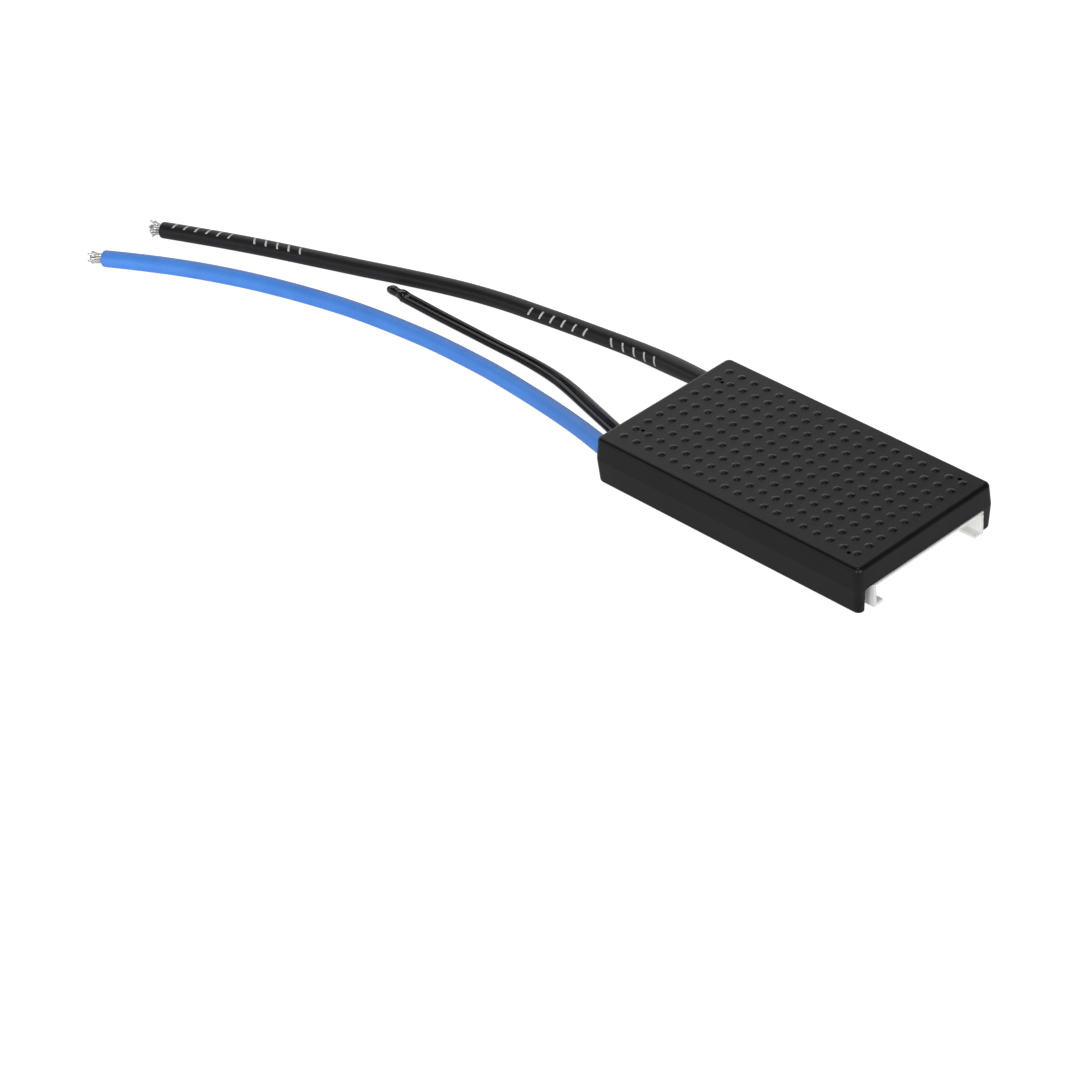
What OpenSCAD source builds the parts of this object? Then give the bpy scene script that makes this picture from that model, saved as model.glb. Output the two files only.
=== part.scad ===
// Battery management module for a series battery pack, in millimetres.
// A protection and balancing board is moulded into a one-piece black case, with two
// power leads and a thermistor lead at one end and a balance header at the other.
// Origin: centre of the case's underside. +Z is up, +X points to the header end.

/* [Circuit board] */
// Length of the bare board
board_l = 60.7; // [56:0.1:72]
// Width of the bare board
board_w = 34.1; // [33:0.1:44]
// Thickness of the bare board
board_t = 1.6; // [1:0.1:2.4]
// Radius of the board's corners
board_corner_r = 1; // [0.5:0.1:3]

/* [Moulded case] */
// Moulding between the board's edge and the end that the leads leave
lead_end_wall = 2.8; // [2.4:0.1:5]
// Moulding between the board's edge and the header end
header_end_wall = 1.7; // [1.2:0.1:3]
// Moulding between the board's edges and the long sides
side_wall = 1.35; // [1:0.05:3]
// Moulding above the board
cover_t = 3; // [2.7:0.1:6]
// Draft angle of the walls, both ways from the parting line
draft = 3; // [0:0.5:5]
// Radius of the upright corners
corner_r = 1.3; // [1.1:0.1:3]
// Radius of the edge round the top
top_edge_r = 0.9; // [0.4:0.1:1]
// Radius of the edge round the underside
base_edge_r = 0.7; // [0.3:0.1:1]
// Height of the thin land that the mould leaves at the parting line
parting_land = 0.2; // [0.1:0.05:0.5]

/* [Dimples and locating holes] */
// Distance between dimples, both ways
dimple_pitch = 3.175; // [2.5:0.005:5]
// Diameter of a dimple at the surface
dimple_d = 1.6; // [1:0.1:2.2]
// Depth of a dimple
dimple_depth = 0.35; // [0.1:0.05:0.6]
// Least distance from the case's edge to a dimple's centre
dimple_margin = 3.6; // [2.4:0.1:6]
// Diameter of the holes that the mould's locating pins leave
locating_d = 0.8; // [0.5:0.1:1.5]

/* [Balance header] */
// Number of contacts
ways = 14; // [4:1:14]
// Distance between contacts
way_pitch = 2; // [1.6:0.05:2.05]
// Header beyond its outer contacts, at each end
header_end = 1.95; // [1.6:0.05:2.1]
// Height of the header
header_h = 4.8; // [4.2:0.1:6.4]
// Depth of the header, ears included
header_depth = 7.6; // [7:0.1:9]
// Depth of the ears behind the header's back wall
ear_depth = 1.6; // [1.3:0.1:2.2]
// Thickness of the header's end walls
end_wall_t = 0.7; // [0.5:0.05:1]
// Thickness of the header's wall against the board
roof_t = 0.7; // [0.5:0.05:1]
// Thickness of the header's slotted lower wall
floor_t = 0.6; // [0.4:0.05:0.9]
// Thickness of the header's back wall
back_wall_t = 1.75; // [1.2:0.05:2.2]
// Lower wall that is left at each end of the slot
slot_end = 2.45; // [1.5:0.05:4]
// Header beyond the case's end face
header_proud = 0.3; // [0:0.1:1.5]
// Gap between the header's underside and what the case stands on
header_lift = 0.4; // [0.1:0.05:0.6]
// Sideways place of the header's middle
header_y = 0.15; // [-1:0.05:0.6]
// Gap between the header and the open side of the case's notch
notch_gap = 1.9; // [0.5:0.1:2.3]
// Radius in the notch's upper corner
notch_r = 0.5; // [0.3:0.1:1.5]
// Side of a contact's square wire
contact_t = 0.5; // [0.4:0.02:0.64]
// Height that a contact stands above the board
contact_tail = 1.4; // [1:0.1:2]

/* [Leads] */
// Outer diameter of a power lead
lead_d = 3.5; // [2.6:0.1:3.6]
// Diameter of a power lead's bundle of strands
core_d = 2; // [1.4:0.1:2.1]
// Length of bare strands at a power lead's free end
strip_l = 3.3; // [2:0.1:8]
// Outer diameter of one wire of the thermistor's twin lead
twin_d = 1.4; // [0.9:0.05:1.4]
// Diameter of the thermistor's coated bead
bead_d = 1.9; // [1.4:0.1:2]

/* [Circuit] */
// Number of power switches on each side of the common drain
switches = 3; // [1:1:3]
// Distance between power switches
switch_pitch = 7.5; // [7:0.1:7.6]
// Number of current-sensing resistors side by side
shunts = 4; // [1:1:4]
// Distance between current-sensing resistors
shunt_pitch = 4; // [3.5:0.1:4.4]
// Distance between the cells' balancing channels
channel_pitch = 2.2; // [2.1:0.02:2.3]

/* [Hidden] */

$fn = 32;
eps = 0.01;      // how far a cutting tool runs past the face that it cuts

// Case and board
case_l = board_l + lead_end_wall + header_end_wall;
case_w = board_w + 2 * side_wall;
board_z = header_lift + header_h;                 // underside of the board
board_top = board_z + board_t;
case_h = board_top + cover_t;
parting_z = board_z;
board_x0 = -case_l / 2 + lead_end_wall;           // edge at the leads
board_x1 = case_l / 2 - header_end_wall;          // edge at the header
top_inset = (case_h - parting_z) * tan(draft);
base_inset = parting_z * tan(draft);
top_l = case_l - 2 * top_inset;
top_w = case_w - 2 * top_inset;

// Dimples and locating holes
dimple_cols = floor((top_l - 2 * dimple_margin) / dimple_pitch) + 1;
dimple_rows = floor((top_w - 2 * dimple_margin) / dimple_pitch) + 1;
dimple_ball_r = (pow(dimple_d / 2, 2) + pow(dimple_depth, 2)) / (2 * dimple_depth);
locating_lead = [2.7, 6.3];                       // insets from the board's corners at the leads
locating_header = [3.6, 2];                       // insets from its corners at the header
locating_holes = [
    for (s = [-1, 1]) [board_x0 + locating_lead[0], s * (board_w / 2 - locating_lead[1])],
    for (s = [-1, 1]) [board_x1 - locating_header[0], s * (board_w / 2 - locating_header[1])]
];

// Header: its mouth faces +X and its slotted wall faces down
header_w = (ways - 1) * way_pitch + 2 * header_end;
header_x1 = case_l / 2 + header_proud;            // mouth
header_x0 = header_x1 - header_depth;             // back of the ears
header_back = header_x0 + ear_depth;              // outside of the back wall
mouth_x = header_back + back_wall_t;              // inside of the back wall
header_y0 = header_y - header_w / 2;
header_y1 = header_y + header_w / 2;
contact_x = header_back - contact_t / 2;          // the contacts' upright legs
contact_rise = 0.45;                              // contacts above the socket's middle
contact_z = (header_lift + floor_t + board_z - roof_t) / 2 + contact_rise;
contact_short = 2;                                // mouth to the contacts' ends
contact_bend_r = 0.7;
contact_chamfer = 0.12;
contact_hole_d = 0.9;
joint_foot_r = 0.8;
joint_top_r = 0.36;
joint_h = 1;
mouth_chamfer = 0.3;

// Leads
jacket_end_x = board_x0 - 0.2;                    // inner ends of the jackets
joint_inset = 2.6;                                // solder's near end from the board's edge
joint_l = 3.1;
joint_near_x = board_x0 + joint_inset;
joint_far_x = joint_near_x + joint_l;
power_joint_r = 1.5;
power_joint_lift = 0.3;                           // solder's axis above the strands' axis
pad_inset = 1.6;
pad_x = board_x0 + pad_inset;                     // pads of the twin lead
pad_d = 1.1;
twin_core_d = 0.45;
joint_room = 20;                                  // room round a joint, to cut it level with the board
lead_sides = 8;
strand_r = 0.2 * core_d;
strand_orbit = 0.36 * core_d;
web_angle = 30;                                   // half the angle that the web takes
web_w = twin_d * (1 - cos(web_angle));
web_h = twin_d * sin(web_angle);
bead_neck = 1.3;                                  // distance from boot to drop
boot_r = 0.82;
boot_spread = 0.55;
bead_room = 5;                                    // room beyond the twin lead's end for the bead

// Routes of the leads, from the board outwards; the first two points lie in line with
// the bore in the case, and all lie on the surface that the case stands on
blue_route = [
    [jacket_end_x, -13.6, 3.9], [-33.4, -13.6, 3.9], [-37, -12.8, 3.8], [-43, -11.2, 3.3],
    [-50, -9.4, 2.5], [-57, -8, 1.9], [-64, -7.2, 1.8], [-72, -6.6, 1.8], [-80, -6.4, 1.8],
    [-88, -6.5, 1.8], [-96, -7, 1.8], [-104, -7.8, 1.8], [-112, -9, 1.8], [-120, -10.7, 1.8],
    [-128, -12.8, 1.8], [-136, -15.3, 1.8], [-144, -18.3, 1.8], [-152, -21.8, 1.8],
    [-160, -25.9, 1.8], [-165, -28.7, 1.8]
];
black_route = [
    [jacket_end_x, 15.1, 3.9], [-33.4, 15.1, 3.9], [-37, 15.8, 3.6], [-43, 16.6, 2.9],
    [-50, 17.3, 2.1], [-57, 17.25, 1.8], [-64, 16.5, 1.8], [-72, 15.5, 1.8], [-80, 14.4, 1.8],
    [-88, 13.2, 1.8], [-96, 11.5, 1.8], [-104, 9.2, 1.8], [-112, 6.5, 1.8], [-120, 3.6, 1.8],
    [-128, 0.8, 1.8], [-136, -2, 1.8], [-144, -4.9, 1.8], [-152, -8, 1.8],
    [-160, -11.3, 1.8], [-164.6, -13.3, 1.8]
];
twin_route = [
    [jacket_end_x, -9.4, 4.1], [-33.4, -9.4, 4.1], [-36.5, -8.2, 4], [-41, -6.6, 3.6],
    [-46, -4.7, 2.9], [-51, -2.8, 2.2], [-56, -1, 1.6], [-61, 0.4, 1.2], [-67, 1.3, 1],
    [-73, 1.7, 1], [-79, 1.8, 1], [-85, 1.9, 1], [-91, 2, 1], [-97, 2.1, 1],
    [-103, 2.3, 1], [-107.2, 2.4, 1]
];
// Roll of the twin lead at each point of its route, in degrees
twin_roll = [20, 20, 30, 42, 42, 35, 22, 8, -8, -16, -20, -20, -20, -20, -20, -20];

// Outer sizes of the circuit's parts: along X, along Y and above the board
switch_size = [6.6, 10, 2.4];
shunt_size = [3.2, 6.4, 0.6];
monitor_size = [6.4, 6.5, 1.1];
regulator_size = [4.2, 4.5, 1.6];
small_transistor_size = [2.9, 2.4, 1.1];
surge_diode_size = [5.2, 3.6, 2.3];
small_chip_size = [1.6, 0.8, 0.5];
capacitor_size = [1.6, 0.8, 0.8];
balance_chip_size = [3.2, 1.6, 0.6];

// Moulded bodies of those parts, between their legs or terminals
switch_body_l = 6.1;
switch_bevel = 0.35;
switch_waist = 1.2;                               // height of the body's widest line
transistor_body_w = 1.3;
monitor_body_w = 4.4;
regulator_body_l = 2.5;
diode_body_l = 4.4;
body_lift = 0.1;                                  // body above the board
leg_root = 0.1;                                   // leg that lies inside the body

// Legs and terminals of those parts: width, height of the shoulder and thickness
switch_leg = [0.76, 1.05, 0.5];
switch_leg_y = 2.28;                              // from the switch's middle
switch_tab = [5.4, 1.1];                          // width and length past the body
switch_tab_root = 4;
transistor_leg = [0.42, 0.65, 0.14];
transistor_leg_x = 0.95;
transistor_shoulder = 0.32;
monitor_leg = [0.25, 0.65, 0.13];
monitor_leg_pitch = 0.65;
monitor_shoulder = 0.4;
monitor_legs = 10;                                // along each side
regulator_tab_w = 1.7;
regulator_leg_w = 0.44;
regulator_leg_pitch = 1.5;
regulator_metal_t = 0.4;
diode_terminal = [2, 1.3];                        // width and height
chip_skin = 0.05;                                 // terminals proud of the body
chip_terminal = 0.3;
balance_terminal = 0.5;
shunt_terminal = 1.1;
shunt_lift = 0.12;
shunt_skin = 0.08;

// Clearances between the circuit's parts
part_gap = 0.3;
drain_gap = 1.2;                                  // between the two rows of power switches
edge_gap = 0.5;                                   // from the board's edge to the shunts
diode_edge_gap = 1.3;                             // from the board's edge to the surge diode
column_gap = 0.9;                                 // between the columns beside the header
monitor_gap = 2.5;                                // between regulator and monitors
tail_gap = 5;                                     // contacts' solder to balancing resistors
driver_pitch = 6;
drivers = 4;
channels = ways - 1;

// Places of the circuit's parts; the power side fills the leads' end of the board, from the
// shunts at one edge, and the cells' channels stand in columns beside the header
gate_step = switch_size[1] / 2 + part_gap + small_chip_size[1] / 2;
gate_x = (switch_size[0] - small_chip_size[0]) / 2 - part_gap;  // from the switch's middle
shunt_x = joint_far_x + power_joint_r + part_gap + shunt_size[0] / 2;
shunt_y = edge_gap + shunt_size[1] / 2 - board_w / 2;
switch_x = joint_far_x + power_joint_r + part_gap + switch_size[0] / 2;
discharge_y = shunt_y + shunt_size[1] / 2 + part_gap + small_chip_size[1] / 2 + gate_step;
charge_y = discharge_y + switch_size[1] + drain_gap;
switches_x1 = switch_x + (switches - 1) * switch_pitch + switch_size[0] / 2;
surge_x = switches_x1 + part_gap + surge_diode_size[0] / 2;
surge_y = board_w / 2 - diode_edge_gap - surge_diode_size[1] / 2;
filter_resistor_x = header_x0 - column_gap - small_chip_size[0] / 2;
filter_capacitor_x = filter_resistor_x - column_gap - (small_chip_size[0] + capacitor_size[0]) / 2;
balance_x = filter_capacitor_x - column_gap - (capacitor_size[0] + small_transistor_size[0]) / 2;
balance_step = column_gap + small_transistor_size[0];
monitor_x = balance_x - balance_step - column_gap - (small_transistor_size[0] + monitor_size[0]) / 2;
monitor_y = regulator_size[1] / 2 + monitor_gap + monitor_size[1] / 2;
balance_resistor_x = contact_x - joint_foot_r - tail_gap - balance_chip_size[0] / 2;
channel_y = [for (i = [0 : channels - 1]) (i - (channels - 1) / 2) * channel_pitch];

discharge_places = [for (i = [0 : switches - 1]) [switch_x + i * switch_pitch, discharge_y]];
charge_places = [for (i = [0 : switches - 1]) [switch_x + i * switch_pitch, charge_y]];
gate_places = [
    for (p = discharge_places) [p[0] + gate_x, discharge_y - gate_step],
    for (p = charge_places) [p[0] + gate_x, charge_y + gate_step]
];
shunt_places = [for (i = [0 : shunts - 1]) [shunt_x + i * shunt_pitch, shunt_y]];
monitor_places = [for (s = [-1, 1]) [monitor_x, s * monitor_y]];
regulator_places = [[monitor_x, 0]];
driver_places = [for (i = [0 : drivers - 1]) [surge_x, (i - (drivers - 1) / 2) * driver_pitch]];
surge_places = [[surge_x, surge_y]];
filter_resistor_places = [for (y = channel_y) [filter_resistor_x, y]];
filter_capacitor_places = [for (y = channel_y) [filter_capacitor_x, y]];
balance_transistor_places = [
    for (i = [0 : channels - 1]) [balance_x - (i % 2) * balance_step, channel_y[i]]
];
balance_resistor_places = [for (y = channel_y) [balance_resistor_x, y]];

// ---------------------------------------------------------------- helpers

function unit(v) = v / norm(v);

// Points of an arc in the plane, from angle a0 to a1 in n steps
function arc(c, r, a0, a1, n) =
    [for (i = [0 : n]) let (a = a0 + (a1 - a0) * i / n) c + r * [cos(a), sin(a)]];

// Direction of a route at its point i
function heading(route, i) =
    unit(route[min(i + 1, len(route) - 1)] - route[max(i - 1, 0)]);

// A ring of points round a route's point: section holds [sideways, upwards] pairs
function ring(route, i, section, roll) =
    let (t = heading(route, i), side = unit(cross(t, [0, 0, 1])), up = cross(side, t))
    [for (q = section)
        route[i] + side * (q[0] * cos(roll) - q[1] * sin(roll))
                 + up * (q[0] * sin(roll) + q[1] * cos(roll))];

// Sweeps a section along a route as one closed polyhedron
module sweep(route, section, rolls) {
    n = len(section);
    last = len(route) - 1;
    points = [for (i = [0 : last]) each ring(route, i, section, rolls[i])];
    walls = [
        for (i = [0 : last - 1], j = [0 : n - 1])
            let (a = i * n + j, b = i * n + (j + 1) % n)
            each [[a, b, b + n], [a, b + n, a + n]]
    ];
    near_cap = [for (j = [n - 1 : -1 : 0]) j];
    far_cap = [for (j = [0 : n - 1]) last * n + j];
    polyhedron(points, concat([near_cap], walls, [far_cap]), convexity = 8);
}

// Carries its children, modelled along +X from the origin, to a route's last point
module at_route_end(route, roll = 0) {
    last = len(route) - 1;
    t = heading(route, last);
    translate(route[last])
        rotate([0, -asin(t[2]), atan2(t[1], t[0])])
            rotate([roll, 0, 0])
                children();
}

// A plate with round corners, from z = 0 up
module round_plate(l, w, h, r) {
    linear_extrude(h) {
        square([l - 2 * r, w], center = true);
        square([l, w - 2 * r], center = true);
        for (x = [-1, 1], y = [-1, 1]) translate([x * (l / 2 - r), y * (w / 2 - r)]) circle(r);
    }
}

// A block of the given size that stands on z = 0, centred on the origin
module block(size) {
    translate([-size[0] / 2, -size[1] / 2, 0]) cube(size);
}

// Copies of a part that stands on z = 0, on the board's upper face
module on_board(places) {
    for (p = places) translate([p[0], p[1], board_top]) children();
}

// Copies of a part that stands on z = 0, hung on the board's underside
module under_board(places) {
    for (p = places) translate([p[0], p[1], board_z]) mirror([0, 0, 1]) children();
}

// ---------------------------------------------------------------- circuit parts

// A bent leg of sheet metal that reaches along +Y: shoulder, drop and foot
module leg(size, shoulder, reach) {
    h = size[1];
    t = size[2];
    translate([-size[0] / 2, 0, 0]) rotate([90, 0, 90]) linear_extrude(size[0])
        polygon([
            [0, h], [shoulder, h], [shoulder, t], [reach, t],
            [reach, 0], [shoulder - t, 0], [shoulder - t, h - t], [0, h - t]
        ]);
}

// Power switch: moulded body, drain tab along +Y and two legs along -Y
module power_switch() {
    y1 = switch_size[1] / 2 - switch_tab[1];
    y0 = y1 - switch_body_l;
    h = switch_size[2];
    legs = switch_size[1] / 2 + y0;
    translate([-switch_size[0] / 2, 0, 0]) rotate([90, 0, 90]) linear_extrude(switch_size[0])
        polygon([
            [y0 + switch_bevel, body_lift], [y1, body_lift], [y1, switch_waist],
            [y1 - switch_bevel, h], [y0 + switch_bevel, h], [y0, switch_waist]
        ]);
    translate([-switch_tab[0] / 2, y1 - switch_tab_root, 0])
        cube([switch_tab[0], switch_tab_root + switch_tab[1], switch_leg[2]]);
    for (x = [-switch_leg_y, switch_leg_y])
        translate([x, y0 + 2 * leg_root, 0]) mirror([0, 1, 0])
            leg(switch_leg, legs / 2 - leg_root, legs + 2 * leg_root);
}

// Three-legged transistor: one leg along +Y and two along -Y
module small_transistor() {
    root = transistor_body_w / 2 - leg_root;
    reach = small_transistor_size[1] / 2 - root;
    translate([0, 0, body_lift])
        block([small_transistor_size[0], transistor_body_w, small_transistor_size[2] - body_lift]);
    translate([0, root, 0]) leg(transistor_leg, transistor_shoulder, reach);
    for (x = [-transistor_leg_x, transistor_leg_x])
        translate([x, -root, 0]) mirror([0, 1, 0]) leg(transistor_leg, transistor_shoulder, reach);
}

// Cell monitor: flat body with a row of legs down each side
module cell_monitor() {
    root = monitor_body_w / 2 - leg_root;
    reach = monitor_size[0] / 2 - root;
    translate([0, 0, body_lift])
        block([monitor_body_w, monitor_size[1], monitor_size[2] - body_lift]);
    for (side = [-1, 1], i = [0 : monitor_legs - 1])
        rotate([0, 0, 90 * side])
            translate([(i - (monitor_legs - 1) / 2) * monitor_leg_pitch, root, 0])
                leg(monitor_leg, monitor_shoulder, reach);
}

// Regulator: body on a wide metal tab, with three flat legs
module regulator_part() {
    reach = (regulator_size[0] - regulator_body_l) / 2 + leg_root;
    block([regulator_body_l, regulator_size[1], regulator_size[2]]);
    translate([-regulator_size[0] / 2, -regulator_tab_w / 2, 0])
        cube([reach, regulator_tab_w, regulator_metal_t]);
    for (i = [-1, 0, 1])
        translate([regulator_size[0] / 2 - reach, i * regulator_leg_pitch - regulator_leg_w / 2, 0])
            cube([reach, regulator_leg_w, regulator_metal_t]);
}

// Surge diode: moulded body with a folded terminal at each end
module surge_diode_part() {
    reach = (surge_diode_size[0] - diode_body_l) / 2 + leg_root;
    block([diode_body_l, surge_diode_size[1], surge_diode_size[2]]);
    for (s = [0, 1]) mirror([s, 0, 0])
        translate([surge_diode_size[0] / 2 - reach, -diode_terminal[0] / 2, 0])
            cube([reach, diode_terminal[0], diode_terminal[1]]);
}

// Chip resistor or capacitor: a body between two wrapped end terminals
module chip(size, terminal) {
    skin = chip_skin;
    translate([0, 0, skin]) block([size[0] - 2 * skin, size[1] - 2 * skin, size[2] - 2 * skin]);
    for (s = [0, 1]) mirror([s, 0, 0])
        translate([size[0] / 2 - terminal, -size[1] / 2, 0]) cube([terminal, size[1], size[2]]);
}

// Current-sensing resistor: a plain metal strip with plated ends
module shunt() {
    translate([0, 0, shunt_lift])
        block([shunt_size[0], shunt_size[1], shunt_size[2] - shunt_lift - shunt_skin]);
    for (s = [0, 1]) mirror([0, s, 0])
        translate([-shunt_size[0] / 2, shunt_size[1] / 2 - shunt_terminal, 0])
            cube([shunt_size[0], shunt_terminal, shunt_size[2]]);
}

module discharge_switches() {
    color("#2b2b2e") under_board(discharge_places) power_switch();
}

module charge_switches() {
    color("#2b2b2e") under_board(charge_places) rotate([0, 0, 180]) power_switch();
}

module gate_resistors() {
    color("#1d1d1f") under_board(gate_places) chip(small_chip_size, chip_terminal);
}

module current_shunts() {
    color("#b9b4a8") under_board(shunt_places) shunt();
}

module cell_monitors() {
    color("#242427") under_board(monitor_places) cell_monitor();
}

module regulator() {
    color("#242427") under_board(regulator_places) regulator_part();
}

module driver_transistors() {
    color("#2b2b2e") on_board(driver_places) small_transistor();
}

module surge_diode() {
    color("#242427") under_board(surge_places) surge_diode_part();
}

module balance_transistors() {
    color("#2b2b2e") under_board(balance_transistor_places) small_transistor();
}

module balance_resistors() {
    color("#1d1d1f") on_board(balance_resistor_places) chip(balance_chip_size, balance_terminal);
}

module filter_resistors() {
    color("#1d1d1f") under_board(filter_resistor_places) chip(small_chip_size, chip_terminal);
}

module filter_capacitors() {
    color("#b08a5a") under_board(filter_capacitor_places) chip(capacitor_size, chip_terminal);
}

// ---------------------------------------------------------------- board and header

module way_places() {
    for (i = [0 : ways - 1])
        translate([0, header_y + (i - (ways - 1) / 2) * way_pitch, 0]) children();
}

module circuit_board() {
    color("#1f5a3a") difference() {
        translate([(board_x0 + board_x1) / 2, 0, board_z])
            round_plate(board_l, board_w, board_t, board_corner_r);
        way_places() translate([contact_x, 0, board_z - eps])
            cylinder(d = contact_hole_d, h = board_t + 2 * eps);
    }
}

// One contact: square wire from the socket through the back wall, bent up to the board
module contact() {
    x0 = contact_x - contact_t / 2;
    x1 = header_x1 - contact_short;
    z0 = contact_z - contact_t / 2;
    z1 = contact_z + contact_t / 2;
    top = board_top + contact_tail;
    c = contact_chamfer;
    outline = concat(
        arc([x0 + contact_bend_r, z0 + contact_bend_r], contact_bend_r, 180, 270, 6),
        [[x1 - c, z0], [x1, z0 + c], [x1, z1 - c], [x1 - c, z1], [x0 + contact_t, z1]],
        [[x0 + contact_t, top - c], [x0 + contact_t - c, top], [x0 + c, top], [x0, top - c]]
    );
    translate([0, contact_t / 2, 0]) rotate([90, 0, 0]) linear_extrude(contact_t) polygon(outline);
}

module header_contacts() {
    color("#c9c6bd") way_places() contact();
}

// Solder in each plated hole, with a cone round the contact above the board
module contact_joint_blank() {
    translate([contact_x, 0, board_z]) cylinder(d = contact_hole_d, h = board_t);
    translate([contact_x, 0, board_top]) cylinder(r1 = joint_foot_r, r2 = joint_top_r, h = joint_h);
}

module contact_joints() {
    color("#b5b7b8") way_places() difference() {
        contact_joint_blank();
        contact();
    }
}

// Header: a slotted socket between two ears that reach behind its back wall
module header_shroud() {
    color("#f1efe8") difference() {
        union() {
            translate([header_back, header_y0, header_lift])
                cube([header_x1 - header_back, header_w, header_h]);
            for (y = [header_y0, header_y1 - end_wall_t])
                translate([header_x0, y, header_lift]) cube([header_depth, end_wall_t, header_h]);
        }
        // socket
        translate([mouth_x, header_y0 + end_wall_t, header_lift + floor_t])
            cube([header_depth, header_w - 2 * end_wall_t, header_h - floor_t - roof_t]);
        // wide keying slot through the lower wall
        translate([mouth_x, header_y0 + slot_end, header_lift - eps])
            cube([header_depth, header_w - 2 * slot_end, floor_t + 2 * eps]);
        // lead-in round the mouth
        translate([header_x1, header_y0, 0]) rotate([-90, 0, 0]) linear_extrude(header_w)
            polygon([[-mouth_chamfer, -board_z + roof_t], [eps, -board_z + roof_t],
                     [eps, -board_z + roof_t - mouth_chamfer]]);
        way_places() contact();
    }
}

// ---------------------------------------------------------------- leads

lead_section = [for (j = [0 : lead_sides - 1])
    let (a = 360 * (j + 0.5) / lead_sides) lead_d / 2 * [cos(a), sin(a)]];

// Two round wires that share a thin web
twin_section = concat(
    arc([twin_d / 2, 0], twin_d / 2, web_angle - 180, 180 - web_angle, 6),
    arc([-twin_d / 2, 0], twin_d / 2, web_angle, 360 - web_angle, 6)
);

no_roll = [for (p = blue_route) 0];

module blue_lead() {
    color("#3a82e8") sweep(blue_route, lead_section, no_roll);
}

module black_lead() {
    color("#1b1b1d") sweep(black_route, lead_section, no_roll);
}

// Bare strands, fused by tinning
module strands() {
    rotate([0, 90, 0]) {
        cylinder(r = strand_r, h = strip_l);
        for (a = [0 : 60 : 300])
            rotate([0, 0, a]) translate([strand_orbit, 0, 0]) cylinder(r = strand_r, h = strip_l);
    }
}

module blue_lead_strands() {
    color("#c8c8c6") at_route_end(blue_route) strands();
}

module black_lead_strands() {
    color("#c8c8c6") at_route_end(black_route) strands();
}

module thermistor_lead() {
    color("#1b1b1d") sweep(twin_route, twin_section, twin_roll);
}

// Coated bead: a boot over the ends of both wires, and a round drop beyond it
module thermistor_bead() {
    color("#161617") at_route_end(twin_route, twin_roll[len(twin_roll) - 1]) {
        intersection() {
            hull() {
                for (s = [-1, 1]) translate([0, s * boot_spread, 0]) sphere(boot_r, $fn = 20);
                translate([bead_neck, 0, 0]) sphere(boot_r, $fn = 20);
            }
            translate([0, -bead_room / 2, -bead_room / 2]) cube(bead_room);
        }
        translate([bead_neck + bead_d / 2, 0, 0]) sphere(d = bead_d);
    }
}

// Room below the board, from the jackets' inner ends on, that a joint is cut to
module joint_box(y) {
    translate([jacket_end_x, y - joint_room / 2, 0]) cube([joint_room, joint_room, board_z]);
}

// A soldered end: the bare strands and the solder that holds them to the board
module power_joint(route) {
    y = route[0][1];
    z = route[0][2];
    intersection() {
        union() {
            translate([jacket_end_x, y, z]) rotate([0, 90, 0])
                cylinder(d = core_d, h = joint_far_x - jacket_end_x);
            translate([joint_near_x, y, z + power_joint_lift]) {
                rotate([0, 90, 0]) cylinder(r = power_joint_r, h = joint_far_x - joint_near_x);
                sphere(power_joint_r);
            }
            translate([joint_far_x, y, z + power_joint_lift]) sphere(power_joint_r);
        }
        joint_box(y);
    }
}

module power_joints() {
    color("#b5b7b8") {
        power_joint(blue_route);
        power_joint(black_route);
    }
}

// The twin lead's bare ends on their two pads
module thermistor_joints() {
    y = twin_route[0][1];
    z = twin_route[0][2];
    roll = twin_roll[0];
    color("#b5b7b8") intersection() {
        for (s = [-1, 1]) {
            wire_y = y + s * twin_d / 2 * cos(roll);
            wire_z = z + s * twin_d / 2 * sin(roll);
            translate([jacket_end_x, wire_y, wire_z]) rotate([0, 90, 0])
                cylinder(d = twin_core_d, h = pad_x - jacket_end_x);
            translate([pad_x, wire_y, wire_z]) {
                sphere(d = pad_d);
                cylinder(d = pad_d, h = board_z - wire_z);
            }
        }
        joint_box(y);
    }
}

// ---------------------------------------------------------------- case

// Drafted body with round corners and edges, widest at the parting line
module case_blank() {
    hull() for (x = [-1, 1], y = [-1, 1]) {
        translate([x * (case_l / 2 - corner_r), y * (case_w / 2 - corner_r), parting_z - parting_land / 2])
            cylinder(r = corner_r, h = parting_land);
        translate([x * (case_l / 2 - corner_r - top_inset), y * (case_w / 2 - corner_r - top_inset), 0])
            translate([0, 0, case_h - top_edge_r]) edge_corner(top_edge_r);
        translate([x * (case_l / 2 - corner_r - base_inset), y * (case_w / 2 - corner_r - base_inset), 0])
            translate([0, 0, base_edge_r]) edge_corner(base_edge_r);
    }
}

// A corner of the case where an edge of radius r runs round it
module edge_corner(r) {
    rotate_extrude() {
        translate([0, -r]) square([corner_r - r, 2 * r]);
        translate([corner_r - r, 0]) intersection() {
            circle(r);
            translate([0, -r]) square([r, 2 * r]);
        }
    }
}

module dimples() {
    for (i = [0 : dimple_cols - 1], j = [0 : dimple_rows - 1])
        translate([
            (i - (dimple_cols - 1) / 2) * dimple_pitch,
            (j - (dimple_rows - 1) / 2) * dimple_pitch,
            case_h - dimple_depth + dimple_ball_r
        ]) sphere(dimple_ball_r);
}

// Notch for the header, open at the underside and at the end face
module header_notch() {
    y0 = header_y0 - notch_gap;
    y1 = header_y1;
    translate([header_back, 0, 0]) rotate([90, 0, 90]) linear_extrude(header_depth) {
        translate([y0 + notch_r, -eps]) square([y1 - y0 - notch_r, board_z + eps]);
        translate([y0, -eps]) square([y1 - y0, board_z - notch_r + eps]);
        translate([y0 + notch_r, board_z - notch_r]) circle(notch_r);
    }
}

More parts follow.
